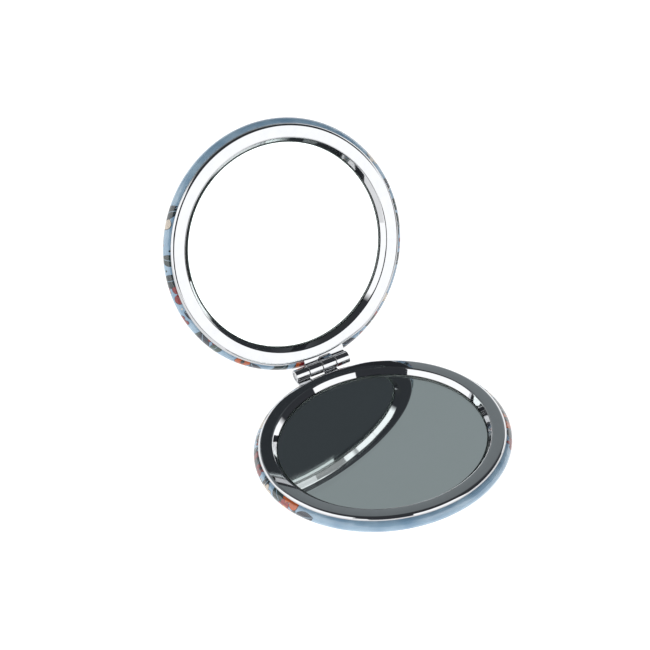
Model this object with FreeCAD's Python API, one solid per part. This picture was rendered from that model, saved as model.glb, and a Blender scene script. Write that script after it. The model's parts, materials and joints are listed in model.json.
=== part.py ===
import FreeCAD, Part
import math
import os

# Round folding compact mirror: two alike halves joined by a rolled pin hinge.
# Each half is a stamped, plated pan that frames a glass mirror. A dished shell with a
# thin foam pad closes it behind, under a printed skin that is tucked in below the pan's ring.
# Millimetres. The origin is the centre of the face that the base rests on, +Z up,
# and the hinge lies behind, towards +Y. The lid is built open, as the object is used.

# Driving dimensions of the case
case_radius = 35.0          # to the widest line of the round rim
bezel_overhang = 0.45       # ring reaches this far past the crown of the rim
edge_radius = 0.95          # ring's outer edge, rolled down onto the rim
edge_notch = 1.2            # edge cut back over the hinge leaf
crown_width = 2.6           # ring's face, from the rolled edge to the bend
crown_radius = 60.0         # slight crown across that face
bezel_bend_radius = 0.7     # bend from the ring down into the mirror recess
recess_flare = 38.0         # recess wall leans out by this angle, from the glass up to the bend
floor_bend_radius = 0.3     # inside bend at the foot of the pan's wall

# Layers of one half, from the top of the ring to its back
mirror_recess = 1.45        # glass lies this far below the ring
glass_thickness = 1.0
tape_thickness = 0.15
frame_sheet = 0.4           # stamped pan
shell_sheet = 0.5           # stamped back shell
foam_thickness = 0.65
skin_thickness = 0.45       # printed cover

# Smaller features of the layers
glass_arris = 0.15          # ground edge
glass_clearance = 0.15      # between the glass and the pan's wall
tape_inset = 1.5            # tape disc stops short of the glass edge
tuck_width = 1.3            # skin and shell turned in under the ring
foam_clearance = 0.3        # between the foam's edge and the foot of the shell's rim
magnet_length = 8.0
magnet_width = 1.3
magnet_height = 2.0
magnet_clearance = 0.1      # to the bend of the pan and to the turned-in flange

# Hinge
hinge_standoff = 0.8        # axis lies this far outside the widest line of the rim
pin_radius = 1.0
pin_clearance = 0.05        # running fit of the knuckles on the pin
pin_recess = 0.3            # pin stops short of the barrel's ends
pin_end_round = 0.25
leaf_sheet = 0.7
leaf_corner_radius = 0.8
knuckle_count = 4           # taken in turn by the two leaves
knuckle_pitch = 4.15
knuckle_gap = 0.26          # between neighbouring knuckles
knuckle_chamfer = 0.08
seam_gap = 0.15             # rolled strip stops this far above its own leaf
knuckle_clearance = 0.8     # leaf cut back from the other leaf's knuckle
notch_chamfer = 0.7         # corners of that notch
slot_clearance = 0.1        # room round the leaf where it passes through the rim
lid_open_angle = 114.2      # from closed to the rest pose

# Heights that follow, with the top of the ring at zero and the back below it
glass_top = -mirror_recess
glass_bottom = glass_top - glass_thickness
floor_top = glass_bottom - tape_thickness
floor_bottom = floor_top - frame_sheet
panel_bottom = floor_bottom - shell_sheet
foam_bottom = panel_bottom - foam_thickness
back = foam_bottom - skin_thickness
half_thickness = -back

# The ring's crown runs smoothly into its rolled edge and into the bend: where two of them meet,
# both lean by the same angle. The edge's foot and the bend's height are at the rounds' centres.
crown_half_width = crown_width / 2
edge_lean = math.degrees(math.asin(crown_half_width / (crown_radius - edge_radius)))
bend_lean = math.degrees(math.asin(crown_half_width / (crown_radius - bezel_bend_radius)))
edge_bottom = (crown_radius - edge_radius) * math.cos(math.radians(edge_lean)) - crown_radius
bend_height = (crown_radius - bezel_bend_radius) * math.cos(math.radians(bend_lean)) - crown_radius
ring_underside = bend_height + bezel_bend_radius - frame_sheet

# The recess wall runs on from the bend at its flare, down to the glass
flare = math.radians(recess_flare)
flare_height = bend_height + bezel_bend_radius * math.sin(flare)
flare_reach = (flare_height - glass_top) * math.tan(flare)

# The round rim fills the height between the foot of the ring's edge and the back
rim_radius = (edge_bottom - back) / 2
rim_height = (edge_bottom + back) / 2
rim_centre = case_radius - rim_radius
tuck_inner = rim_centre - tuck_width
shell_rim_radius = rim_radius - skin_thickness
flange_bottom = edge_bottom - skin_thickness - shell_sheet

# Radii of the pan and of what it holds
frame_outer = rim_centre + bezel_overhang
edge_centre = frame_outer - edge_radius
crown_centre = edge_centre - crown_half_width
bend_centre = crown_centre - crown_half_width
flare_radius = bend_centre - bezel_bend_radius * math.cos(flare)
wall_inside = flare_radius - flare_reach
wall_outside = wall_inside + frame_sheet
glass_radius = wall_inside - glass_clearance

# Hinge places, in the frame of one half
bore_radius = pin_radius + pin_clearance
knuckle_radius = bore_radius + leaf_sheet
leaf_top = edge_bottom
leaf_bottom = leaf_top - leaf_sheet
axis_y = case_radius + hinge_standoff
axis_z = leaf_bottom + knuckle_radius
barrel_length = knuckle_count * knuckle_pitch
barrel_start = -barrel_length / 2
leaf_start = barrel_start + knuckle_gap / 2
leaf_end = barrel_start + (knuckle_count - 1) * knuckle_pitch - knuckle_gap / 2
knuckle_wrap = 360 - math.degrees(math.acos((bore_radius - seam_gap) / knuckle_radius))

ORIGIN = FreeCAD.Vector(0, 0, 0)
X_AXIS = FreeCAD.Vector(1, 0, 0)
Y_AXIS = FreeCAD.Vector(0, 1, 0)
Z_AXIS = FreeCAD.Vector(0, 0, 1)
HINGE_POINT = FreeCAD.Vector(0, axis_y, axis_z)


def line(start, end):
    """A straight edge of a turned section, between (r, z) points."""
    ends = [FreeCAD.Vector(r, 0, z) for r, z in (start, end)]
    return Part.LineSegment(*ends).toShape()


def on_circle(centre, radius, degrees):
    """The (r, z) point at an angle round a centre."""
    turn = math.radians(degrees)
    return centre[0] + radius * math.cos(turn), centre[1] + radius * math.sin(turn)


def arc(centre, radius, start_degrees, end_degrees):
    """A round edge of a turned section."""
    angles = (start_degrees, (start_degrees + end_degrees) / 2, end_degrees)
    points = [on_circle(centre, radius, angle) for angle in angles]
    return Part.Arc(*[FreeCAD.Vector(r, 0, z) for r, z in points]).toShape()


def turned(edges):
    """A solid turned round the case axis from the closed section that the edges bound in order."""
    return Part.Face(Part.Wire(edges)).revolve(ORIGIN, Z_AXIS, 360)


def turned_polygon(points):
    return turned([line(a, b) for a, b in zip(points, points[1:] + points[:1])])


def block(x_span, y_span, z_span):
    """A box from its (low, high) spans."""
    lows, highs = zip(x_span, y_span, z_span)
    sides = [high - low for low, high in zip(lows, highs)]
    return Part.makeBox(*sides, FreeCAD.Vector(*lows))


def frame_pan():
    """Stamped pan: rolled outer edge, crowned ring, flared recess and the floor under the mirror."""
    edge = (edge_centre, edge_bottom)
    crown = (crown_centre, -crown_radius)
    bend = (bend_centre, bend_height)
    foot = (wall_inside - floor_bend_radius, floor_top + floor_bend_radius)
    rim_turn = 90 - edge_lean
    crown_turn = 90 + bend_lean
    flare_turn = 180 - recess_flare
    flare_under = on_circle(bend, bezel_bend_radius - frame_sheet, flare_turn)
    corner_under = (wall_outside, glass_top - frame_sheet * math.tan(flare / 2))
    pan = turned([
        arc(edge, edge_radius, 0, rim_turn),
        arc(crown, crown_radius, rim_turn, crown_turn),
        arc(bend, bezel_bend_radius, crown_turn, flare_turn),
        line((flare_radius, flare_height), (wall_inside, glass_top)),
        line((wall_inside, glass_top), (wall_inside, foot[1])),
        arc(foot, floor_bend_radius, 0, -90),
        line((foot[0], floor_top), (0, floor_top)),
        line((0, floor_top), (0, floor_bottom)),
        line((0, floor_bottom), (foot[0], floor_bottom)),
        arc(foot, floor_bend_radius + frame_sheet, -90, 0),
        line((wall_outside, foot[1]), corner_under),
        line(corner_under, flare_under),
        arc(bend, bezel_bend_radius - frame_sheet, flare_turn, crown_turn),
        arc(crown, crown_radius - frame_sheet, crown_turn, rim_turn),
        arc(edge, edge_radius - frame_sheet, rim_turn, 0),
        line((frame_outer - frame_sheet, edge_bottom), (frame_outer, edge_bottom)),
    ])
    return pan.cut(edge_gap())


def edge_gap():
    """Room over the hinge leaf, where the ring's edge is cut back."""
    below = edge_bottom - slot_clearance
    room = block(
        (leaf_start - slot_clearance, leaf_end + slot_clearance),
        (bend_centre, axis_y),
        (below, edge_radius),
    )
    kept = Part.makeCylinder(frame_outer - edge_notch, edge_radius - below, FreeCAD.Vector(0, 0, below))
    return room.cut(kept)


def mirror_glass():
    """Round mirror with ground edges."""
    face_radius = glass_radius - glass_arris
    return turned_polygon([
        (0, glass_bottom),
        (face_radius, glass_bottom),
        (glass_radius, glass_bottom + glass_arris),
        (glass_radius, glass_top - glass_arris),
        (face_radius, glass_top),
        (0, glass_top),
    ])


def mirror_tape():
    """Disc of double-sided tape that holds the glass on the pan's floor."""
    return Part.makeCylinder(glass_radius - tape_inset, tape_thickness, FreeCAD.Vector(0, 0, floor_top))


def closing_magnet(clearance=0.0):
    """Bar under the ring, opposite the hinge. With a clearance, the room that it needs."""
    near_side = -bend_centre - magnet_clearance
    half_length = magnet_length / 2
    return block(
        (-half_length - clearance, half_length + clearance),
        (near_side - magnet_width - clearance, near_side + clearance),
        (ring_underside - magnet_height - clearance, ring_underside),
    )


def leaf_slot():
    """Room for the hinge leaf through the rim and its turned-in flange."""
    return block(
        (leaf_start - slot_clearance, leaf_end + slot_clearance),
        (bend_centre - slot_clearance, axis_y),
        (min(leaf_bottom, flange_bottom) - slot_clearance, edge_bottom),
    )


def notched(layer):
    """A layer of the rim with room for the hinge leaf and the magnet."""
    return layer.cut(leaf_slot()).cut(closing_magnet(magnet_clearance))


def rim_edges(outer_radius, thickness, outer_foot, inner_foot):
    """Edges of one layer of the rim, from its outer foot over the crown and back to its inner foot."""
    centre = (rim_centre, rim_height)
    inner_radius = outer_radius - thickness
    top = rim_height + outer_radius
    underside = rim_height + inner_radius
    return [
        arc(centre, outer_radius, outer_foot, 90),
        line((rim_centre, top), (tuck_inner, top)),
        line((tuck_inner, top), (tuck_inner, underside)),
        line((tuck_inner, underside), (rim_centre, underside)),
        arc(centre, inner_radius, 90, inner_foot),
    ]


def printed_cover():
    """Printed skin over the back and the rim, tucked in below the ring."""
    return notched(turned(rim_edges(rim_radius, skin_thickness, -90, -90) + [
        line((rim_centre, foam_bottom), (0, foam_bottom)),
        line((0, foam_bottom), (0, back)),
        line((0, back), (rim_centre, back)),
    ]))


def rim_foot(radius, level):
    """Angle and radius where the rim, rolled on past its lowest line, comes up to a level."""
    angle = -180 - math.degrees(math.asin((level - rim_height) / radius))
    return angle, on_circle((rim_centre, rim_height), radius, angle)[0]


def back_shell():
    """Dished back: a rolled rim round a flat panel that is set in by the foam's thickness."""
    outer_foot, outer_reach = rim_foot(shell_rim_radius, panel_bottom)
    inner_foot, inner_reach = rim_foot(shell_rim_radius - shell_sheet, floor_bottom)
    return notched(turned(rim_edges(shell_rim_radius, shell_sheet, outer_foot, inner_foot) + [
        line((inner_reach, floor_bottom), (0, floor_bottom)),
        line((0, floor_bottom), (0, panel_bottom)),
        line((0, panel_bottom), (outer_reach, panel_bottom)),
    ]))


def foam_pad():
    """Thin pad between the shell's panel and the flat of the skin."""
    reach = rim_foot(shell_rim_radius, panel_bottom)[1]
    return Part.makeCylinder(reach - foam_clearance, foam_thickness, FreeCAD.Vector(0, 0, foam_bottom))


def knuckle(start):
    """One knuckle: the leaf's strip rolled outward round the pin from below."""
    low = start + knuckle_gap / 2
    high = start + knuckle_pitch - knuckle_gap / 2
    shoulder = knuckle_radius - knuckle_chamfer
    outline = [
        (low, bore_radius),
        (high, bore_radius),
        (high, shoulder),
        (high - knuckle_chamfer, knuckle_radius),
        (low + knuckle_chamfer, knuckle_radius),
        (low, shoulder),
        (low, bore_radius),
    ]
    section = Part.makePolygon([FreeCAD.Vector(x, axis_y, axis_z - r) for x, r in outline])
    return Part.Face(section).revolve(HINGE_POINT, X_AXIS, knuckle_wrap)


def leaf_notch(start):
    """Room in a leaf for one of the other leaf's knuckles, with cut corners."""
    low = start - knuckle_gap / 2
    high = start + knuckle_pitch + knuckle_gap / 2
    inner = axis_y - knuckle_radius - knuckle_clearance
    outline = [
        (low, axis_y),
        (low, inner + notch_chamfer),
        (low + notch_chamfer, inner),
        (high - notch_chamfer, inner),
        (high, inner + notch_chamfer),
        (high, axis_y),
        (low, axis_y),
    ]
    section = Part.makePolygon([FreeCAD.Vector(x, y, leaf_bottom) for x, y in outline])
    return Part.Face(section).extrude(Z_AXIS * leaf_sheet)


def hinge_leaf():
    """Strip under the ring with every other knuckle, cut back where the other leaf's ones turn."""
    leaf = block((leaf_start, leaf_end), (bend_centre, axis_y), (leaf_bottom, leaf_top))
    upright = [edge for edge in leaf.Edges if abs(edge.tangentAt(edge.FirstParameter).z) > 0.5]
    inner_corners = [edge for edge in upright if edge.CenterOfMass.y < axis_y - leaf_corner_radius]
    leaf = leaf.makeFillet(leaf_corner_radius, inner_corners)
    for place in range(knuckle_count - 1):
        start = barrel_start + place * knuckle_pitch
        if place % 2 == 0:
            leaf = leaf.fuse(knuckle(start))
        else:
            leaf = leaf.cut(leaf_notch(start))
    return leaf.removeSplitter()


def hinge_pin():
    """Pin through the barrel, with rounded ends just inside it."""
    start = FreeCAD.Vector(barrel_start + pin_recess, axis_y, axis_z)
    pin = Part.makeCylinder(pin_radius, barrel_length - 2 * pin_recess, start, X_AXIS)
    end_edges = [edge for edge in pin.Edges if isinstance(edge.Curve, Part.Circle)]
    return pin.makeFillet(pin_end_round, end_edges)


def as_base(shape):
    """A half set down as the base, its back on the resting face."""
    placed = shape.copy()
    placed.translate(FreeCAD.Vector(0, 0, half_thickness))
    return placed


def as_lid(shape):
    """A half turned face down on the base, then opened about the pin."""
    placed = shape.copy()
    placed.rotate(HINGE_POINT, Y_AXIS, 180)
    placed.rotate(HINGE_POINT, X_AXIS, -lid_open_angle)
    return as_base(placed)


HALF_PIECES = {
    "frame": frame_pan,
    "mirror": mirror_glass,
    "mirror_tape": mirror_tape,
    "magnet": closing_magnet,
    "back_shell": back_shell,
    "foam_pad": foam_pad,
    "cover": printed_cover,
    "hinge_leaf": hinge_leaf,
}


def main():
    os.makedirs("parts", exist_ok=True)
    pieces = {"hinge_pin": as_base(hinge_pin())}
    for name, make in HALF_PIECES.items():
        half_piece = make()
        pieces["base_" + name] = as_base(half_piece)
        pieces["lid_" + name] = as_lid(half_piece)
    for name, shape in pieces.items():
        shape.exportStep(f"parts/{name}.step")
        print(f"{name:18s} solids {len(shape.Solids)} volume {shape.Volume:8.2f} valid {shape.isValid()}")
    print(f"half thickness {half_thickness:.4f}")
    print(f"hinge axis at y {axis_y:.4f} z {half_thickness + axis_z:.4f}")
    print(f"gap between the closed rings {2 * axis_z:.4f}")


main()
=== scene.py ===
import json
import math

import bmesh
import bpy
from mathutils import Matrix, Vector


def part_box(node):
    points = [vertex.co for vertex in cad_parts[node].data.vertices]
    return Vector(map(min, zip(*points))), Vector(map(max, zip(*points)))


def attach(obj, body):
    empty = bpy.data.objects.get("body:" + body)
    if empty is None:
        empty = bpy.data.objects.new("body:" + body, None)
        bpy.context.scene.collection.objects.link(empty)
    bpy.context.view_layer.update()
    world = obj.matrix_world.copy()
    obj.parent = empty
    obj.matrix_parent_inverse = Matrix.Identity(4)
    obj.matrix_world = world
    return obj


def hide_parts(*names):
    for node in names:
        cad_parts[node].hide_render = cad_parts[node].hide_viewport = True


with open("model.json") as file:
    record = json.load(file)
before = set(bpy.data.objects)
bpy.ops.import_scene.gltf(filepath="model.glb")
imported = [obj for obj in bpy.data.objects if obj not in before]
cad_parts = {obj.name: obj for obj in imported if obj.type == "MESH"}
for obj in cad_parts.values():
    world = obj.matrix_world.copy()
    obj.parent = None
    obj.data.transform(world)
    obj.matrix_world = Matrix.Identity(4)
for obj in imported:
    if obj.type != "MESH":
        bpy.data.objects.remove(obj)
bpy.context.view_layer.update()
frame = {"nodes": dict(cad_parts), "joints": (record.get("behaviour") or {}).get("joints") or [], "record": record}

# Round folding compact mirror. Each half is drawn in its own frame, in millimetres: the top of the
# ring at zero, the back below it and the hinge towards +Y. It is then set down as base or lid.
MM = 0.001
MICRON = 0.000001
X, Y, Z = range(3)
HALVES = ("base", "lid")


def span(node, axis):
    """(low, high) of a node along an axis, in millimetres."""
    low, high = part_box(node)
    return low[axis] / MM, high[axis] / MM


# Sizes that the frame gives
ring_height = span("base_frame", Z)[1]
back = -ring_height
case_radius = span("base_cover", X)[1]
frame_outer = span("base_frame", X)[1]
floor_bottom = span("base_frame", Z)[0] - ring_height
glass_radius = span("base_mirror", X)[1]
glass_bottom, glass_top = [height - ring_height for height in span("base_mirror", Z)]
foam_radius = span("base_foam_pad", X)[1]
foam_bottom, foam_top = [height - ring_height for height in span("base_foam_pad", Z)]
hinge_place = Vector(frame["joints"][0]["pos_m"]) / MM
axis_y = hinge_place.y
axis_z = hinge_place.z - ring_height
pin_start, pin_end = span("hinge_pin", X)
pin_radius = (span("hinge_pin", Z)[1] - span("hinge_pin", Z)[0]) / 2
leaf_start, leaf_end = span("base_hinge_leaf", X)
leaf_inner = span("base_hinge_leaf", Y)[0]
leaf_bottom = span("base_hinge_leaf", Z)[0] - ring_height
knuckle_radius = axis_z - leaf_bottom
lid_back = next(mount for mount in frame["record"]["mounts"] if mount["name"] == "lid_back")
lid_back_axis = lid_back["axis"]
lid_open_angle = math.atan2(lid_back_axis[Y], lid_back_axis[Z])

# Sizes that the boxes of the nodes don't tell
frame_sheet = 0.4
edge_radius = 0.95
edge_draw = 0.65            # ring's edge drawn in over the hinge strip
edge_draw_fade = 9.0        # and back out over this length on both sides
crown_width = 2.6
crown_radius = 60.0
bezel_bend_radius = 0.7
recess_flare = math.radians(38.0)
floor_bend_radius = 0.3
glass_arris = 0.15
mirror_bow_radius = 6000.0  # the base's silvering is very slightly hollow
silver_coat_gap = 0.02      # the silvering shows this far above the tape
skin_thickness = 0.45
tuck_width = 1.3
pin_clearance = 0.05
pin_end_round = 0.25
knuckle_count = 4
knuckle_gap = 0.26
knuckle_clearance = 0.8
notch_chamfer = 0.7
seam_gap = 0.15
slot_clearance = 0.1
edge_break = 0.07           # softened edges of the hinge strip
foam_edge_round = 0.18

# Fineness of the meshes
pan_steps = 288             # round the pans and mirrors
film_steps = 720            # round the film, enough for its pleats
foam_steps = 144
pin_steps = 96
roll_steps = 72             # round a knuckle
same_place = 1e-6           # nearer points are one
on_surface = 0.01           # nearer points lie on the surface

# Sizes that follow
floor_top = floor_bottom + frame_sheet
edge_centre = frame_outer - edge_radius
crown_centre = edge_centre - crown_width / 2
bend_centre = edge_centre - crown_width
edge_lean = math.asin((edge_centre - crown_centre) / (crown_radius - edge_radius))
bend_lean = math.asin((crown_centre - bend_centre) / (crown_radius - bezel_bend_radius))
edge_bottom = (crown_radius - edge_radius) * math.cos(edge_lean) - crown_radius
bend_height = (crown_radius - bezel_bend_radius) * math.cos(bend_lean) - crown_radius
flare_height = bend_height + bezel_bend_radius * math.sin(recess_flare)
flare_radius = bend_centre - bezel_bend_radius * math.cos(recess_flare)
wall_inside = flare_radius - (flare_height - glass_top) * math.tan(recess_flare)
wall_outside = wall_inside + frame_sheet
rim_radius = (edge_bottom - back) / 2
rim_height = (edge_bottom + back) / 2
rim_centre = case_radius - rim_radius
tuck_inner = rim_centre - tuck_width
bore_radius = pin_radius + pin_clearance
leaf_sheet = knuckle_radius - bore_radius
leaf_top = leaf_bottom + leaf_sheet
knuckle_pitch = (leaf_end - leaf_start + knuckle_gap) / (knuckle_count - 1)
knuckle_wrap = 2 * math.pi - math.acos((bore_radius - seam_gap) / knuckle_radius)

# The camera, as the photograph was taken
camera_azimuth = math.radians(-23.7594)
camera_elevation = math.radians(37.7324)
camera_roll = math.radians(-5.8566)
camera_distance = 1034.38
camera_aim_height = 4.2
camera_aside = 15.372       # the object's middle lies this far right of the picture's
camera_above = 30.356       # and this far below it
camera_focal_pixels = 3837.65
image_pixels = 650
sensor_width = 36.0


def half_matrix(half):
    """From a half's own millimetres to its place in the part, in metres."""
    lift = Matrix.Translation((0, 0, ring_height))
    if half == "lid":
        hinge = Matrix.Translation((0, axis_y, axis_z))
        turn = Matrix.Rotation(-lid_open_angle, 4, "X") @ Matrix.Rotation(math.pi, 4, "Y")
        lift = lift @ hinge @ turn @ hinge.inverted()
    return Matrix.Scale(MM, 4) @ lift


# Sections of turned pieces: strokes of (r, z, normal r, normal z) samples, with the piece on the left
def straight(start, end, steps=1):
    """A straight stroke of a section."""
    run, rise = end[0] - start[0], end[1] - start[1]
    length = math.hypot(run, rise)
    shares = [step / steps for step in range(steps + 1)]
    return [(start[0] + run * t, start[1] + rise * t, rise / length, -run / length) for t in shares]


def bend(centre, radius, start_degrees, end_degrees, steps=12):
    """A round stroke of a section, bulging where it turns left and hollow where it turns right."""
    side = 1 if end_degrees > start_degrees else -1
    stroke = []
    for step in range(steps + 1):
        angle = math.radians(start_degrees + (end_degrees - start_degrees) * step / steps)
        across, along = math.cos(angle), math.sin(angle)
        place = (centre[0] + radius * across, centre[1] + radius * along)
        stroke.append(place + (side * across, side * along))
    return stroke


def section_rows(section):
    """The (r, z) rows of a section without repeats, and each stroke's row numbers."""
    rows, numbers = [], []
    for stroke in section:
        numbers.append([])
        for r, z, _, _ in stroke:
            known = [i for i in (len(rows) - 1, 0) if rows and math.dist(rows[i], (r, z)) < same_place]
            if not known:
                rows.append((r, z))
            numbers[-1].append(known[0] if known else len(rows) - 1)
    return rows, numbers


def turned(name, section, segments=pan_steps, relief=None):
    """A closed mesh turned round the case axis, each face numbered by its stroke. Relief shifts its
    points by their radius, height and turn."""
    rows, numbers = section_rows(section)
    turns = [2 * math.pi * j / segments for j in range(segments)]
    vertices, first = [], []
    for r, z in rows:
        first.append(len(vertices))
        for turn in turns if r > same_place else turns[:1]:
            place = Vector((r * math.cos(turn), r * math.sin(turn), z))
            vertices.append(place + relief(r, z, turn) if relief else place)

    def vertex(row, j):
        return first[row] + (j % segments if rows[row][0] > same_place else 0)

    faces, strokes = [], []
    for stroke, number in enumerate(numbers):
        for low, high in zip(number, number[1:]):
            for j in range(segments):
                corners = [vertex(low, j), vertex(low, j + 1), vertex(high, j + 1), vertex(high, j)]
                faces.append(list(dict.fromkeys(corners)))
                strokes.append(stroke)
    mesh = bpy.data.meshes.new(name)
    mesh.from_pydata(vertices, [], faces, shade_flat=False)
    mesh.polygons.foreach_set("material_index", strokes)
    return mesh


def stroke_normal(stroke, r, z):
    """The normal of a stroke at a point on it, across and along the axis."""
    def reach(sample):
        return math.dist(sample[:2], (r, z))

    first, second = min(zip(stroke, stroke[1:]), key=lambda pair: reach(pair[0]) + reach(pair[1]))
    share = reach(first) / (reach(first) + reach(second))
    return tuple(a + (b - a) * share for a, b in zip(first[2:], second[2:]))


def settle_turned(mesh, section, matrix, finishes=None, nudge=None):
    """Sets a turned mesh in its place with exact normals, and swaps its stroke numbers for finishes.
    A nudge shifts its points first, and the normals stay as they were."""
    known, normals = {}, []
    for face in mesh.polygons:
        for number in face.vertices:
            x, y, z = mesh.vertices[number].co
            r = math.hypot(x, y)
            key = (face.material_index, round(r, 4), round(z, 4))
            if key not in known:
                known[key] = stroke_normal(section[face.material_index], r, z)
            across, along = known[key]
            turn = math.atan2(y, x)
            normals.append(Vector((across * math.cos(turn), across * math.sin(turn), along)))
    for face in mesh.polygons:
        face.material_index = finishes[face.material_index] if finishes else 0
    if nudge:
        for vertex in mesh.vertices:
            vertex.co += nudge(vertex.co)
    mesh.transform(matrix)
    rotation = matrix.to_3x3().normalized()
    mesh.normals_split_custom_set([(rotation @ normal).normalized() for normal in normals])
    return mesh


def piece(name, mesh, half, slot, materials, *nodes):
    """A new piece in the scene, riding on its body in place of its nodes."""
    thing = bpy.data.objects.new(name, mesh)
    bpy.context.scene.collection.objects.link(thing)
    for material in materials:
        mesh.materials.append(material)
    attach(thing, half)
    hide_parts(*nodes)
    return thing


def pan_section():
    """Stamped pan: rolled edge, crowned ring, flared recess and the floor under the mirror."""
    edge = (edge_centre, edge_bottom)
    crown = (crown_centre, -crown_radius)
    corner = (bend_centre, bend_height)
    foot = (wall_inside - floor_bend_radius, floor_top + floor_bend_radius)
    outward = 90 - math.degrees(edge_lean)
    inward = 90 + math.degrees(bend_lean)
    down = 180 - math.degrees(recess_flare)
    flare_under = bend(corner, bezel_bend_radius - frame_sheet, down, inward)
    corner_under = (wall_outside, glass_top - frame_sheet * math.tan(recess_flare / 2))
    return [
        bend(edge, edge_radius, 0, outward),
        bend(crown, crown_radius, outward, inward),
        bend(corner, bezel_bend_radius, inward, down),
        straight((flare_radius, flare_height), (wall_inside, glass_top), 4),
        straight((wall_inside, glass_top), (wall_inside, foot[1])),
        bend(foot, floor_bend_radius, 0, -90),
        straight((foot[0], floor_top), (0, floor_top)),
        straight((0, floor_bottom), (foot[0], floor_bottom)),
        bend(foot, floor_bend_radius + frame_sheet, -90, 0),
        straight((wall_outside, foot[1]), corner_under),
        straight(corner_under, flare_under[0][:2]),
        flare_under,
        bend(crown, crown_radius - frame_sheet, inward, outward),
        bend(edge, edge_radius - frame_sheet, outward, 0),
        straight((frame_outer - frame_sheet, edge_bottom), (frame_outer, edge_bottom)),
    ]


def glass_section(half):
    """Round mirror: silvered back, ground edges, clear face. The base's silvering is slightly hollow."""
    face_radius = glass_radius - glass_arris
    silver = glass_bottom + silver_coat_gap
    coat = straight((0, silver), (face_radius, silver))
    if half == "base":
        lean = math.degrees(math.asin(face_radius / mirror_bow_radius))
        coat = bend((0, silver + mirror_bow_radius), mirror_bow_radius, -90, lean - 90, 24)
    rim = coat[-1][1]
    return [
        coat,
        straight((face_radius, rim), (glass_radius, rim + glass_arris)),
        straight((glass_radius, rim + glass_arris), (glass_radius, glass_top - glass_arris)),
        straight((glass_radius, glass_top - glass_arris), (face_radius, glass_top)),
        straight((face_radius, glass_top), (0, glass_top)),
    ]


def foam_section():
    """Foam disc with soft edges."""
    inset = foam_radius - foam_edge_round
    low, high = foam_bottom + foam_edge_round, foam_top - foam_edge_round
    return [
        straight((0, foam_bottom), (inset, foam_bottom), 12),
        bend((inset, low), foam_edge_round, -90, 0, 5),
        straight((foam_radius, low), (foam_radius, high)),
        bend((inset, high), foam_edge_round, 0, 90, 5),
        straight((inset, foam_top), (0, foam_top), 12),
    ]


def cover_section():
    """Printed skin over the back and the rim, tucked in below the ring."""
    centre = (rim_centre, rim_height)
    inner_radius = rim_radius - skin_thickness
    top, underside = rim_height + rim_radius, rim_height + inner_radius
    return [
        straight((0, back), (rim_centre, back), 90),
        bend(centre, rim_radius, -90, 90, 40),
        straight((rim_centre, top), (tuck_inner, top), 3),
        straight((tuck_inner, top), (tuck_inner, underside)),
        straight((tuck_inner, underside), (rim_centre, underside)),
        bend(centre, inner_radius, 90, -90, 16),
        straight((rim_centre, back + skin_thickness), (0, back + skin_thickness), 4),
    ]


def pin_section():
    """Hinge pin with rounded ends, along its own axis."""
    round_radius = pin_radius - pin_end_round
    return [
        straight((0, pin_start), (round_radius, pin_start)),
        bend((round_radius, pin_start + pin_end_round), pin_end_round, -90, 0, 6),
        straight((pin_radius, pin_start + pin_end_round), (pin_radius, pin_end - pin_end_round)),
        bend((round_radius, pin_end - pin_end_round), pin_end_round, 0, 90, 6),
        straight((round_radius, pin_end), (0, pin_end)),
    ]


# Relief of the skin
pleat_depth = 0.045
pleat_waves = ((61, 0.3, 0.5), (97, 1.9, 0.3), (149, 4.1, 0.2))   # count round the rim, phase, share
groove_depth = 0.10
groove_width = 0.45


def smooth_step(low, high, value):
    """From nothing at the low value to one at the high, gently at both ends."""
    share = min(1.0, max(0.0, (value - low) / (high - low)))
    return share * share * (3 - 2 * share)


def skin_relief(r, z, turn):
    """Small pleats where the skin is drawn in under the ring, and a groove round the padded back."""
    across, along = r - rim_centre, z - rim_height
    if across >= 0 and math.hypot(across, along) > rim_radius - on_surface:
        waves = sum(share * math.cos(count * turn + phase) for count, phase, share in pleat_waves)
        drawn_in = smooth_step(0.1, 0.9, along / rim_radius) * smooth_step(0, 0.15, across / rim_radius)
        inward = -pleat_depth * drawn_in * (0.5 - 0.5 * waves) / rim_radius
        return Vector((across * math.cos(turn), across * math.sin(turn), along)) * inward
    if z < back + on_surface:
        from_groove = (r - (foam_radius + rim_centre) / 2) / groove_width
        return Vector((0, 0, groove_depth * math.exp(-from_groove * from_groove)))
    return Vector((0, 0, 0))


def prism(outline, low, high):
    """A closed upright prism over an outline of (x, y) points, taken anticlockwise."""
    count = len(outline)
    vertices = [(x, y, z) for z in (low, high) for x, y in outline]
    sides = [(i, (i + 1) % count, (i + 1) % count + count, i + count) for i in range(count)]
    mesh = bpy.data.meshes.new("prism")
    ends = [tuple(reversed(range(count))), tuple(range(count, 2 * count))]
    mesh.from_pydata(vertices, [], ends + sides)
    return mesh


def settled(thing):
    """The object's mesh with its modifiers applied."""
    graph = bpy.context.evaluated_depsgraph_get()
    mesh = bpy.data.meshes.new_from_object(thing.evaluated_get(graph))
    bpy.data.objects.remove(thing)
    return mesh


def scratch_object(mesh):
    """An object for a mesh that modifiers are still to change."""
    thing = bpy.data.objects.new("scratch", mesh)
    bpy.context.scene.collection.objects.link(thing)
    return thing


def cut_away(mesh, room):
    """The mesh without what lies in the room."""
    body, cutter = scratch_object(mesh), scratch_object(room)
    cut = body.modifiers.new("cut", "BOOLEAN")
    cut.object = cutter
    cut.solver = "EXACT"
    left = settled(body)
    bpy.data.objects.remove(cutter)
    return left


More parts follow.
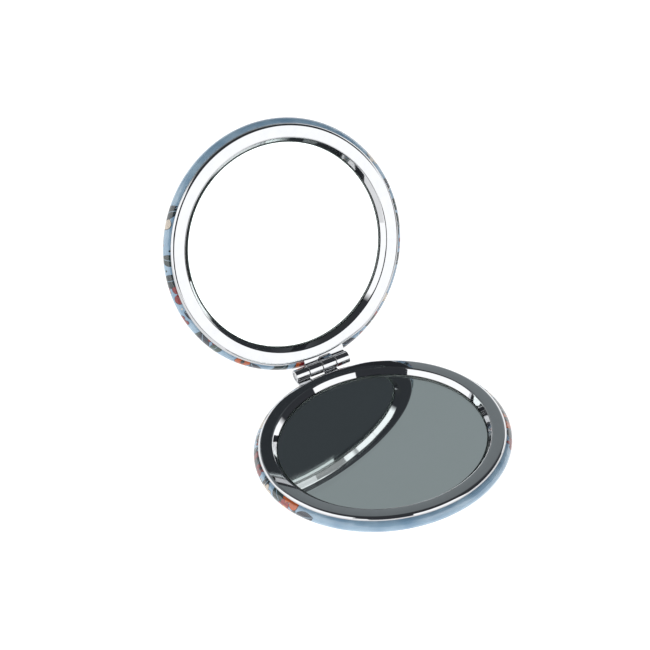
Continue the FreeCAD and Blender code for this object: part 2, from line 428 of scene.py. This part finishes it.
def edge_relief(point):
    """The ring's edge is drawn in over the hinge strip and comes back out on both sides of it."""
    r = math.hypot(point.x, point.y)
    if r < bend_centre or point.y < 0:
        return Vector((0, 0, 0))
    beside = abs(point.x - (leaf_start + leaf_end) / 2) - (leaf_end - leaf_start) / 2
    share = 1 - smooth_step(0, edge_draw_fade, beside)
    share *= min(1.0, (r - bend_centre) / (edge_centre - bend_centre))
    return Vector((point.x, point.y, 0)) * (-edge_draw * share / r)


def map_print(mesh):
    """Lays the flat print on the skin, by the way along it from the middle of the back."""
    layer = mesh.uv_layers.new(name="print_map")
    for loop in mesh.loops:
        point = mesh.vertices[loop.vertex_index].co
        r = math.hypot(point.x, point.y)
        reach = r
        if r > rim_centre:
            round_rim = math.atan2(point.z - rim_height, r - rim_centre) + math.pi / 2
            reach = rim_centre + rim_radius * round_rim
        elif point.z > rim_height:
            reach = rim_centre + rim_radius * math.pi + rim_centre - r
        scale = reach / r if r > same_place else 0
        layer.data[loop.index].uv = (point.x * scale, point.y * scale)


def cover_mesh(name, matrix):
    """Skin with its pleats and groove, and the notch that the hinge strip passes through."""
    low, high = leaf_start - slot_clearance, leaf_end + slot_clearance
    inner = leaf_inner - slot_clearance
    notch = [(low, inner), (high, inner), (high, axis_y), (low, axis_y)]
    room = prism(notch, leaf_bottom - slot_clearance, 0)
    mesh = cut_away(turned(name, cover_section(), film_steps, skin_relief), room)
    map_print(mesh)
    mesh.polygons.foreach_set("material_index", [0] * len(mesh.polygons))
    mesh.transform(matrix)
    mesh.set_sharp_from_angle(angle=math.radians(40))
    return mesh


def leaf_path():
    """(y, z) points down the middle of the hinge strip: straight under the ring, then round the pin."""
    middle = (leaf_top + leaf_bottom) / 2
    cut_back = axis_y - knuckle_radius - knuckle_clearance
    stops = (leaf_inner, cut_back, cut_back + notch_chamfer, axis_y - knuckle_radius / 2)
    points = [(y, middle) for y in stops]
    roll = knuckle_radius - leaf_sheet / 2
    for step in range(roll_steps + 1):
        angle = -math.pi / 2 + knuckle_wrap * step / roll_steps
        points.append((axis_y + roll * math.cos(angle), axis_z + roll * math.sin(angle)))
    return points


def leaf_mesh(name, matrix):
    """Hinge strip: a flat tongue and every other knuckle, rolled round the pin from below."""
    inner_edge = leaf_start + knuckle_pitch - knuckle_gap
    outer_edge = leaf_start + 2 * knuckle_pitch
    columns = [leaf_start, inner_edge, inner_edge + notch_chamfer,
               outer_edge - notch_chamfer, outer_edge, leaf_end]
    path = leaf_path()
    shape = bmesh.new()
    grid = [[shape.verts.new((x, y, z)) for x in columns] for y, z in path]
    for row in range(len(path) - 1):
        for column in range(len(columns) - 1):
            if column in (0, len(columns) - 2) or row == 0:
                a, b = grid[row][column:column + 2]
                c, d = grid[row + 1][column:column + 2]
                shape.faces.new((a, b, d, c))
    shape.faces.new((grid[1][1], grid[1][2], grid[2][1]))
    shape.faces.new((grid[1][3], grid[1][4], grid[2][4]))
    loose = [v for v in shape.verts if not v.link_faces]
    bmesh.ops.delete(shape, geom=loose, context="VERTS")
    mesh = bpy.data.meshes.new(name)
    shape.to_mesh(mesh)
    shape.free()
    mesh = thickened(mesh)
    mesh.name = name
    mesh.transform(matrix)
    return mesh


def thickened(mesh):
    """The hinge strip's middle face made as thick as its sheet, with softened edges."""
    strip = scratch_object(mesh)
    thick = strip.modifiers.new("sheet", "SOLIDIFY")
    thick.thickness = leaf_sheet
    thick.offset = 0
    thick.use_even_offset = True
    soft = strip.modifiers.new("edges", "BEVEL")
    soft.width = edge_break
    soft.segments = 3
    soft.limit_method = "ANGLE"
    soft.angle_limit = math.radians(40)
    soft.harden_normals = True
    return settled(strip)


# Materials
def seen(red, green, blue):
    """A colour as a screen shows it, 0 to 255, in linear light."""
    parts = [value / 255 for value in (red, green, blue)]
    return tuple(p / 12.92 if p <= 0.04045 else ((p + 0.055) / 1.055) ** 2.4 for p in parts) + (1.0,)


class Graph:
    """The node tree of one material or world, built by short calls."""

    def __init__(self, owner):
        owner.use_nodes = True
        self.tree = owner.node_tree
        self.tree.nodes.clear()

    def add(self, kind, settings=None, **inputs):
        node = self.tree.nodes.new(kind)
        for key, value in (settings or {}).items():
            setattr(node, key, value)
        for key, value in inputs.items():
            self.feed(node.inputs[key.replace("_", " ")], value)
        return node

    def feed(self, socket, value):
        if isinstance(value, bpy.types.NodeSocket):
            self.tree.links.new(value, socket)
        else:
            socket.default_value = value

    def math(self, operation, *values):
        node = self.add("ShaderNodeMath", {"operation": operation})
        for socket, value in zip(node.inputs, values):
            self.feed(socket, value)
        return node.outputs[0]

    def vector(self, operation, *values, scale=None):
        node = self.add("ShaderNodeVectorMath", {"operation": operation})
        for socket, value in zip(node.inputs, values):
            self.feed(socket, value)
        if scale is not None:
            self.feed(node.inputs["Scale"], scale)
        return node.outputs["Value" if operation == "LENGTH" else "Vector"]

    def split(self, way):
        """The parts of a vector along X, Y and Z."""
        return self.add("ShaderNodeSeparateXYZ", Vector=way).outputs

    def mix(self, share, first, second):
        node = self.add("ShaderNodeMix", {"data_type": "RGBA"})
        sockets = (node.inputs[0], node.inputs[6], node.inputs[7])
        for socket, value in zip(sockets, (share, first, second)):
            self.feed(socket, value)
        return node.outputs[2]

    def ramp(self, value, stops, smooth="LINEAR"):
        node = self.add("ShaderNodeValToRGB", Fac=value)
        ramp = node.color_ramp
        ramp.interpolation = smooth
        while len(ramp.elements) < len(stops):
            ramp.elements.new(1.0)
        for element, (place, colour) in zip(ramp.elements, stops):
            element.position = place
            element.color = colour
        return node.outputs["Color"]

    def spread(self, value, low, high, to_low, to_high):
        """The value's range carried over to another, and held there."""
        node = self.add("ShaderNodeMapRange", {"clamp": True})
        for socket, number in zip(node.inputs, (value, low, high, to_low, to_high)):
            self.feed(socket, number)
        return node.outputs[0]

    def noise(self, place, scale, detail=2.0):
        return self.add("ShaderNodeTexNoise", Vector=place, Scale=scale, Detail=detail).outputs["Fac"]

    def tint(self, shader, value, *stops):
        """Colours a shader by a ramp over a value."""
        self.feed(shader.inputs["Base Color"], self.ramp(value, stops))

    def emboss(self, shader, height, depth, socket="Normal"):
        """Gives a shader small relief, of a depth in metres."""
        bump = self.add("ShaderNodeBump", Height=height, Distance=depth, Strength=1.0)
        self.feed(shader.inputs[socket], bump.outputs["Normal"])

    def either(self, share, first, second):
        """The first shader, or the second where the share is one."""
        node = self.add("ShaderNodeMixShader", Fac=share)
        self.feed(node.inputs[1], first.outputs[0])
        self.feed(node.inputs[2], second.outputs[0])
        return node

    def camera_ray(self):
        return self.add("ShaderNodeLightPath").outputs["Is Camera Ray"]

    def place(self):
        return self.add("ShaderNodeTexCoord").outputs["Object"]

    def surface(self, shader, output="ShaderNodeOutputMaterial"):
        self.tree.links.new(shader.outputs[0], self.add(output).inputs["Surface"])


def principled(name, **inputs):
    """A material with its graph and main shader."""
    material = bpy.data.materials.new(name)
    graph = Graph(material)
    shader = graph.add("ShaderNodeBsdfPrincipled", **inputs)
    graph.surface(shader)
    return material, graph, shader


def darker(colour, share):
    """A share of a colour's light."""
    return tuple(share * part for part in colour[:3]) + (1.0,)


# Scales of textures: features in a metre, in all directions or along each axis of the part
haze_scale = 420.0
sheet_wave_scale = 160.0
rolling_scales = (300.0, 6000.0, 300.0)
drawing_scales = (300.0, 9000.0, 9000.0)
silver_cloud_scale = 60.0
wipe_scales = (260.0, 90.0, 90.0)
grinding_scale = 9000.0
pore_scale = 4200.0
fibre_scales = (900.0, 5200.0, 900.0)


def plated_metal(name, colour, dull, waviness):
    """Bright plate: a little haze in patches and the faint waviness of pressed sheet."""
    material, graph, shader = principled(name, Metallic=1.0)
    place = graph.place()
    haze = graph.noise(place, haze_scale, 4.0)
    graph.tint(shader, haze, (0.35, colour), (0.75, darker(colour, 0.96)))
    graph.feed(shader.inputs["Roughness"], graph.spread(haze, 0.3, 0.8, dull, 2.2 * dull))
    graph.emboss(shader, graph.noise(place, sheet_wave_scale, 1.0), waviness)
    return material


def steel(name, colour, scales):
    """Plain steel with fine rolling or drawing lines."""
    material, graph, shader = principled(name, Metallic=1.0)
    lines = graph.noise(graph.vector("MULTIPLY", graph.place(), scales), 1.0, 3.0)
    graph.tint(shader, lines, (0.3, darker(colour, 0.85)), (0.7, colour))
    graph.feed(shader.inputs["Roughness"], graph.spread(lines, 0.3, 0.7, 0.22, 0.38))
    graph.emboss(shader, lines, 4 * MICRON)
    return material


def silver_coat():
    """Silvering seen through the glass."""
    material, graph, shader = principled("silver_coat", Metallic=1.0, Roughness=0.0)
    cloud = graph.noise(graph.place(), silver_cloud_scale, 2.0)
    graph.tint(shader, cloud, (0.3, (0.905, 0.955, 0.945, 1)), (0.7, (0.915, 0.965, 0.96, 1)))
    return material


def clear_glass():
    """Float glass, with hardly any tint through so thin a sheet, and faint wiping marks."""
    material, graph, shader = principled("clear_glass", Transmission_Weight=1.0, IOR=1.52)
    wipe = graph.noise(graph.vector("MULTIPLY", graph.place(), wipe_scales), 1.0, 3.0)
    graph.tint(shader, wipe, (0.3, (0.985, 0.998, 0.993, 1)), (0.8, (0.98, 0.995, 0.99, 1)))
    graph.feed(shader.inputs["Roughness"], graph.spread(wipe, 0.62, 0.8, 0.0, 0.004))
    return material


def ground_glass_painted_shade():
    """Ground edge of the glass, coloured near black: painted shade for the shadow round the glass in the recess.
    """
    material, graph, shader = principled("ground_glass_painted_shade", Transmission_Weight=0.3, IOR=1.52)
    grain = graph.noise(graph.place(), grinding_scale, 2.0)
    # painted shade: the dark edge colour stands in for the shadow round the glass in the recess; the grinding
    # grain on it is real
    graph.tint(shader, grain, (0.3, (0.09, 0.12, 0.115, 1)), (0.7, (0.14, 0.175, 0.17, 1)))
    graph.feed(shader.inputs["Roughness"], graph.spread(grain, 0.3, 0.7, 0.35, 0.6))
    graph.emboss(shader, grain, 20 * MICRON)
    return material


def foam_material():
    """Fine closed-cell foam."""
    material, graph, shader = principled("foam", Roughness=0.95)
    pores = graph.add("ShaderNodeTexVoronoi", Vector=graph.place(), Scale=pore_scale).outputs["Distance"]
    graph.tint(shader, pores, (0.1, seen(224, 222, 212)), (0.6, seen(242, 241, 234)))
    graph.emboss(shader, pores, 60 * MICRON)
    return material


def tape_material():
    """Matt film tape with a fibrous grain."""
    material, graph, shader = principled("adhesive_tape", Roughness=0.6)
    fibre = graph.noise(graph.vector("MULTIPLY", graph.place(), fibre_scales), 1.0, 3.0)
    graph.tint(shader, fibre, (0.3, seen(222, 220, 210)), (0.7, seen(240, 239, 232)))
    graph.emboss(shader, fibre, 10 * MICRON)
    return material


# The print, in millimetres on the flat film
ground_blue = seen(124, 158, 186)
ground_pale = seen(158, 187, 208)
ink_line = seen(12, 18, 30)
crimson, orange, cream = seen(140, 16, 26), seen(206, 92, 20), seen(214, 200, 182)
petal_inks = [crimson, orange, cream, seen(160, 34, 34), seen(222, 214, 202)]
heart_inks = [seen(222, 168, 60), seen(30, 22, 28), seen(180, 92, 30)]
leaf_inks = [seen(8, 26, 28), seen(52, 76, 68), seen(14, 38, 32), seen(10, 18, 40)]
berry_inks = [ground_pale, crimson, cream, leaf_inks[0]]
line_width = 0.1
soft_edge = 0.04
midrib_width = 0.07
vein_rate = 9.0             # radians in a millimetre
motif_jitter = 0.45         # how far a motif strays from its cell's middle
berry_jitter = 0.5
garland_edge = -16.0        # about this far from the film's middle, towards the front
garland_wave = 30.0         # how far that edge wanders
garland_wave_scale = 0.09
cloud_scale = 0.12
grain_scale = 7.0
peel_scale = 1.6


def steps_of(colours):
    """Even stops of a ramp that holds each colour."""
    return [(number / len(colours), colour) for number, colour in enumerate(colours)]


def scatter(graph, place, cell, jitter, shift):
    """Motif places, one in each cell: the way from the nearest, turned at random, its random numbers,
    and one if the garland grows there."""
    moved = graph.vector("SCALE", graph.vector("ADD", place, shift), scale=1 / cell)
    settings = {"voronoi_dimensions": "2D"}
    cells = graph.add("ShaderNodeTexVoronoi", settings, Vector=moved, Scale=1.0, Randomness=jitter)
    away = graph.vector("SUBTRACT", moved, cells.outputs["Position"])
    chance = graph.add("ShaderNodeSeparateColor", Color=cells.outputs["Color"]).outputs
    angle = graph.math("MULTIPLY", chance[0], 2 * math.pi)
    turn = graph.add("ShaderNodeVectorRotate", {"rotation_type": "Z_AXIS"}, Vector=away, Angle=angle)
    along, aside = graph.split(graph.vector("SCALE", turn.outputs[0], scale=cell))[:2]
    middle = graph.vector("SCALE", cells.outputs["Position"], scale=cell)
    return along, aside, chance, garland_share(graph, graph.vector("SUBTRACT", middle, shift))


def garland_share(graph, place):
    """One where the garland grows, on the hinge's side of the film, and nothing towards the front."""
    towards_hinge = graph.split(place)[1]
    bends = graph.math("SUBTRACT", graph.noise(place, garland_wave_scale, 1.0), 0.5)
    wave = graph.math("MULTIPLY", bends, garland_wave)
    return graph.math("GREATER_THAN", graph.math("ADD", towards_hinge, wave), garland_edge)


def inside(graph, depth):
    """One where a motif's depth from its edge is positive, with a soft edge."""
    return graph.spread(depth, -soft_edge, soft_edge, 0.0, 1.0)


def outlined(graph, ground, depth, fill, shown):
    """A motif laid on the ground with a thin inked edge."""
    body = graph.math("MULTIPLY", inside(graph, depth), shown)
    edge = graph.math("SUBTRACT", line_width, graph.math("ABSOLUTE", depth))
    line = graph.math("MULTIPLY", inside(graph, edge), shown)
    return graph.mix(line, graph.mix(body, ground, fill), ink_line)


def shown_share(graph, garland, chance, left_out):
    """One for the motifs of the garland, apart from those left out by chance."""
    return graph.math("MULTIPLY", garland, graph.math("GREATER_THAN", chance, left_out))


def from_middle(graph, along, aside):
    """The distance from a motif's middle."""
    squares = [graph.math("MULTIPLY", way, way) for way in (along, aside)]
    return graph.math("SQRT", graph.math("ADD", *squares))


def leaves(graph, place, ground, cell, reach, width, shift):
    """Pointed leaves with veins and a pale midrib."""
    along, aside, chance, garland = scatter(graph, place, cell, motif_jitter, shift)
    share = graph.math("DIVIDE", along, reach)
    taper = graph.math("SUBTRACT", 1.0, graph.math("MULTIPLY", share, share))
    off = graph.math("ABSOLUTE", aside)
    depth = graph.math("SUBTRACT", graph.math("MULTIPLY", taper, width), off)
    fill = graph.ramp(chance[1], steps_of(leaf_inks), "CONSTANT")
    veins = graph.math("SINE", graph.math("MULTIPLY", graph.math("ADD", along, off), vein_rate))
    fill = graph.mix(graph.spread(veins, 0.6, 1.0, 0.0, 0.2), fill, ground_pale)
    fill = graph.mix(inside(graph, graph.math("SUBTRACT", midrib_width, off)), fill, ground_pale)
    return outlined(graph, ground, depth, fill, shown_share(graph, garland, chance[2], 0.2))


def flowers(graph, place, ground, cell, reach, petals, shift):
    """Open flowers with round petals, darker towards a round heart."""
    along, aside, chance, garland = scatter(graph, place, cell, motif_jitter, shift)
    angle = graph.math("ARCTAN2", aside, along)
    radius = from_middle(graph, along, aside)
    lobe = graph.math("ABSOLUTE", graph.math("COSINE", graph.math("MULTIPLY", angle, petals / 2)))
    scallop = graph.math("MULTIPLY", graph.math("POWER", lobe, 0.6), 0.5)
    edge = graph.math("MULTIPLY", graph.math("ADD", 0.5, scallop), reach)
    depth = graph.math("SUBTRACT", edge, radius)
    fill = graph.ramp(chance[1], steps_of(petal_inks), "CONSTANT")
    streak = graph.math("COSINE", graph.math("MULTIPLY", angle, petals * 4.0))
    near_heart = graph.spread(radius, 0.2 * reach, reach, 0.45, 0.0)
    shade = graph.math("ADD", near_heart, graph.spread(streak, 0.2, 1.0, 0.0, 0.22))
    fill = graph.mix(shade, fill, graph.mix(0.55, fill, ink_line))
    heart = graph.ramp(chance[2], steps_of(heart_inks), "CONSTANT")
    fill = graph.mix(inside(graph, graph.math("SUBTRACT", 0.26 * reach, radius)), fill, heart)
    return outlined(graph, ground, depth, fill, shown_share(graph, garland, chance[2], 0.15))


def berries(graph, place, ground, cell, reach, shift):
    """Small berries between the larger motifs."""
    along, aside, chance, garland = scatter(graph, place, cell, berry_jitter, shift)
    radius = from_middle(graph, along, aside)
    fill = graph.ramp(chance[1], steps_of(berry_inks), "CONSTANT")
    shown = shown_share(graph, garland, chance[2], 0.55)
    body = graph.math("MULTIPLY", inside(graph, graph.math("SUBTRACT", reach, radius)), shown)
    return graph.mix(body, ground, fill)


def printed_film(name, shift):
    """Glossy film, printed with a garland on pale blue. The shift gives each half its own motifs."""
    gloss = {"Roughness": 0.3, "Coat_Weight": 1.0, "Coat_IOR": 1.6, "Coat_Roughness": 0.03}
    material, graph, shader = principled(name, **gloss)
    flat = graph.add("ShaderNodeUVMap", {"uv_map": "print_map"}).outputs["UV"]

    def moved(x, y):
        return x + shift[0], y + shift[1], 0.0

    cloud = graph.noise(flat, cloud_scale, 2.0)
    colour = graph.mix(graph.spread(cloud, 0.35, 0.65, 0.0, 1.0), ground_blue, ground_pale)
    colour = berries(graph, flat, colour, cell=3.1, reach=0.3, shift=moved(17.0, 5.0))
    colour = leaves(graph, flat, colour, cell=6.4, reach=3.4, width=1.7, shift=moved(3.0, 31.0))
    colour = flowers(graph, flat, colour, cell=12.0, reach=4.6, petals=5, shift=moved(7.0, 23.0))
    colour = leaves(graph, flat, colour, cell=8.7, reach=4.2, width=1.9, shift=moved(41.0, 13.0))
    colour = flowers(graph, flat, colour, cell=9.6, reach=2.6, petals=6, shift=moved(29.0, 2.0))
    grain = graph.noise(flat, grain_scale, 3.0)
    colour = graph.mix(graph.spread(grain, 0.35, 0.75, 0.0, 0.10), colour, ink_line)
    graph.feed(shader.inputs["Base Color"], colour)
    graph.emboss(shader, graph.noise(flat, peel_scale, 2.0), 6 * MICRON, "Coat Normal")
    graph.emboss(shader, grain, 4 * MICRON)
    return material


def build_half(half, materials):
    """One half's visible pieces, in place of its nodes."""
    matrix = half_matrix(half)
    names = {kind: f"{half}_{kind}" for kind in ("frame", "mirror", "foam_pad", "cover", "hinge_leaf")}
    section = pan_section()
    pan = settle_turned(turned(names["frame"], section), section, matrix, nudge=edge_relief)
    piece(f"{half}_pan", pan, half, "plated_frame", [materials["plate"]], names["frame"])
    section = glass_section(half)
    glass = settle_turned(turned(names["mirror"], section), section, matrix, [0, 1, 1, 1, 2])
    finishes = [materials["silver"], materials["ground_glass_painted_shade"], materials["glass"]]
    piece(f"{half}_looking_glass", glass, half, "mirror_glass", finishes, names["mirror"])
    section = foam_section()
    foam = settle_turned(turned(names["foam_pad"], section, foam_steps), section, matrix)
    pad = piece(f"{half}_padding", foam, half, "foam", [materials["foam"]], names["foam_pad"])
    skin = cover_mesh(names["cover"], matrix)
    piece(f"{half}_skin", skin, half, "printed_cover", [materials[f"{half}_film"]], names["cover"])
    strip = leaf_mesh(names["hinge_leaf"], matrix)
    piece(f"{half}_strip", strip, half, "hinge_steel", [materials["hinge"]], names["hinge_leaf"])
    for kind, material in (("mirror_tape", "tape"), ("back_shell", "shell"), ("magnet", "magnet")):
        node = frame["nodes"][f"{half}_{kind}"]
        node.data.materials.clear()
        node.data.materials.append(materials[material])


def build_pin(material):
    """The pin, turned along Z and laid along the hinge."""
    lie = Matrix.Translation((0, axis_y, ring_height + axis_z)) @ Matrix.Rotation(math.pi / 2, 4, "Y")
    section = pin_section()
    mesh = settle_turned(turned("pin", section, pin_steps), section, Matrix.Scale(MM, 4) @ lie)
    piece("pin", mesh, "base", "pin_steel", [material], "hinge_pin")


def make_materials():
    """Every finish, by its short name."""
    chrome = (0.60, 0.61, 0.625, 1.0)
    nickel = (0.66, 0.65, 0.63, 1.0)
    return {
        "plate": plated_metal("plated_frame", chrome, dull=0.02, waviness=1.5 * MICRON),
        "hinge": plated_metal("hinge_plate", chrome, dull=0.04, waviness=3 * MICRON),
        "magnet": plated_metal("magnet_plate", nickel, dull=0.08, waviness=2 * MICRON),
        "shell": steel("shell_steel", (0.60, 0.61, 0.62, 1.0), rolling_scales),
        "pin": steel("pin_steel", (0.55, 0.55, 0.56, 1.0), drawing_scales),
        "silver": silver_coat(),
        "glass": clear_glass(),
        "ground_glass_painted_shade": ground_glass_painted_shade(),
        "foam": foam_material(),
        "tape": tape_material(),
        "base_film": printed_film("base_film", (57.0, 38.0)),
        "lid_film": printed_film("lid_film", (217.0, 94.0)),
    }


# Stage, in metres. Bearings are in degrees from the front, towards the right.
white = (1.0, 1.0, 1.0, 1.0)
table_half_side = 3.0
table_drop = 0.00005        # just below the object's foot
table_glow = 0.93
table_grey = (0.45, 0.45, 0.45, 1.0)
unlit_glow = 0.02           # past the end of the white table
unlit_grey = (0.03, 0.03, 0.03, 1.0)
table_fade = (0.085, 0.11)  # the white ends between these distances from the middle
front_opening = (-31.0, 27.0)       # bearing of the middle, and half width
front_dimming = 0.6
right_opening = (69.0, 26.0)
tent_strength = 1.65
tent_dark = (0.028, 0.03, 0.034, 1.0)
panel_soft_height = 0.03
panel_soft_turn = 1.5


def make_floor():
    """The table under the object."""
    side = table_half_side
    corners = [(-side, -side), (side, -side), (side, side), (-side, side)]
    mesh = bpy.data.meshes.new("floor")
    mesh.from_pydata([(x, y, -table_drop) for x, y in corners], [], [(0, 1, 2, 3)])
    mesh.materials.append(table_material())
    floor = bpy.data.objects.new("floor", mesh)
    bpy.context.scene.collection.objects.link(floor)


def table_material():
    """Pale, lit from within and matt, so that it keeps a soft shadow. It is clear from underneath."""
    material = bpy.data.materials.new("pale_table")
    graph = Graph(material)
    unlit = table_shade(graph)
    glow = graph.add("ShaderNodeEmission", Strength=graph.spread(unlit, 0.0, 1.0, table_glow, unlit_glow))
    matt = graph.add("ShaderNodeBsdfDiffuse", Color=graph.mix(unlit, table_grey, unlit_grey))
    table = graph.add("ShaderNodeAddShader")
    graph.feed(table.inputs[0], glow.outputs[0])
    graph.feed(table.inputs[1], matt.outputs[0])
    underside = graph.add("ShaderNodeNewGeometry").outputs["Backfacing"]
    graph.surface(graph.either(underside, table, graph.add("ShaderNodeBsdfTransparent")))
    return material


def bearing(graph, way):
    """The turn of a place or direction round the table, in radians from the front, towards the right."""
    right, behind = graph.split(way)[:2]
    return graph.math("ARCTAN2", right, graph.math("MULTIPLY", behind, -1.0))


def table_shade(graph):
    """One where the white table has ended, towards the tent's openings. The camera sees it white."""
    place = graph.place()
    degrees = graph.math("DEGREES", bearing(graph, place))
    front = graph.math("MULTIPLY", graph.math("COMPARE", degrees, *front_opening), front_dimming)
    right_side = graph.math("COMPARE", degrees, *right_opening)
    opening = graph.math("MAXIMUM", front, right_side)
    far = graph.spread(graph.vector("LENGTH", place), *table_fade, 0.0, 1.0)
    mirrored = graph.math("SUBTRACT", 1.0, graph.camera_ray())
    return graph.math("MULTIPLY", graph.math("MULTIPLY", opening, far), mirrored)


def make_world():
    """A light tent: a backdrop behind, a white panel on the left and another front right. The front is
    open between them and on the right, and it is dark overhead. The camera sees plain white."""
    world = bpy.data.worlds.new("tent")
    bpy.context.scene.world = world
    graph = Graph(world)
    way = graph.add("ShaderNodeTexCoord").outputs["Generated"]
    height = graph.split(way)[2]
    share_round = graph.spread(bearing(graph, way), -math.pi, math.pi, 0.0, 1.0)
    dark, lit = (0, 0, 0, 1), (1, 1, 1, 1)
    turned_back = graph.ramp(share_round, [(0.10, lit), (0.15, dark), (0.78, dark), (0.88, lit)])
    tent = graph.mix(turned_back, tent_sides(graph, height, share_round), tent_backdrop(graph, height))
    tent_light = graph.add("ShaderNodeBackground", Color=tent, Strength=tent_strength)
    plain = graph.add("ShaderNodeBackground", Color=white, Strength=1.0)
    graph.surface(graph.either(graph.camera_ray(), tent_light, plain), "ShaderNodeOutputWorld")


def tent_backdrop(graph, height):
    """The backdrop: white at its foot, through grey to dark overhead."""
    return graph.ramp(height, [
        (0.0, white),
        (0.26, (0.95, 0.95, 0.96, 1)),
        (0.42, (0.30, 0.32, 0.33, 1)),
        (0.62, (0.155, 0.172, 0.178, 1)),
        (0.80, (0.075, 0.08, 0.085, 1)),
        (0.92, (0.03, 0.032, 0.034, 1)),
    ])


def tent_sides(graph, height, share_round):
    """The panels, white up to their tops and dark above."""
    below_top = graph.math("SUBTRACT", graph.ramp(share_round, panel_tops()), height)
    lit_share = graph.spread(below_top, -panel_soft_height, panel_soft_height, 0.0, 1.0)
    return graph.mix(lit_share, tent_dark, white)


def panel_tops():
    """Stops round the table, from behind by the left, the front and the right: how high it is white.
    The left panel reaches further round at its foot."""
    tops = [(-180, 0.30), (-130, 0.80), (-58, 0.42), (-42, 0.10), (-4, 0.70), (43, 0.17), (95, 0.30),
            (180, 0.30)]
    stops, before = [], tops[0][1]
    for degrees, top in tops:
        for turn, level in ((degrees - panel_soft_turn, before), (degrees + panel_soft_turn, top)):
            stops.append((min(1.0, max(0.0, turn / 360 + 0.5)), (level, level, level, 1)))
        before = top
    return stops


def make_lamp(name, place, aim, size, power):
    """A soft square lamp that metal doesn't show."""
    lamp = bpy.data.lights.new(name, "AREA")
    lamp.shape = "SQUARE"
    lamp.size = size
    lamp.energy = power
    holder = bpy.data.objects.new(name, lamp)
    holder.location = place
    holder.rotation_mode = "QUATERNION"
    holder.rotation_quaternion = (Vector(aim) - Vector(place)).to_track_quat("-Z", "Y")
    holder.visible_glossy = False
    bpy.context.scene.collection.objects.link(holder)


def make_camera():
    """The photograph's camera: turned and tilted about a point in the base, then rolled."""
    away = Vector((
        math.sin(camera_azimuth) * math.cos(camera_elevation),
        -math.cos(camera_azimuth) * math.cos(camera_elevation),
        math.sin(camera_elevation),
    ))
    level = (-away).cross(Vector((0, 0, 1))).normalized()
    upward = level.cross(-away)
    right = math.cos(camera_roll) * level + math.sin(camera_roll) * upward
    up = -math.sin(camera_roll) * level + math.cos(camera_roll) * upward
    centre = Vector((0, 0, camera_aim_height))
    place = centre - camera_aside * right + camera_above * up + camera_distance * away
    data = bpy.data.cameras.new("camera")
    data.sensor_width = sensor_width
    data.lens = camera_focal_pixels * sensor_width / image_pixels
    data.clip_start, data.clip_end = 0.05, 20.0
    camera = bpy.data.objects.new("camera", data)
    axes = Matrix((right, up, away)).transposed().to_4x4()
    camera.matrix_world = Matrix.Translation(place * MM) @ axes
    bpy.context.scene.collection.objects.link(camera)
    bpy.context.scene.camera = camera


def main():
    """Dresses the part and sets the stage."""
    bpy.context.scene.view_settings.view_transform = "Standard"
    materials = make_materials()
    for half in HALVES:
        build_half(half, materials)
    build_pin(materials["pin"])
    make_floor()
    make_world()
    make_lamp("overhead", place=(-0.15, -0.2, 0.9), aim=(0, 0.01, 0.02), size=0.7, power=0.5)
    make_lamp("front_fill", place=(0.5, -0.9, 0.25), aim=(0, 0.02, 0.02), size=0.6, power=0.3)
    make_camera()


main()
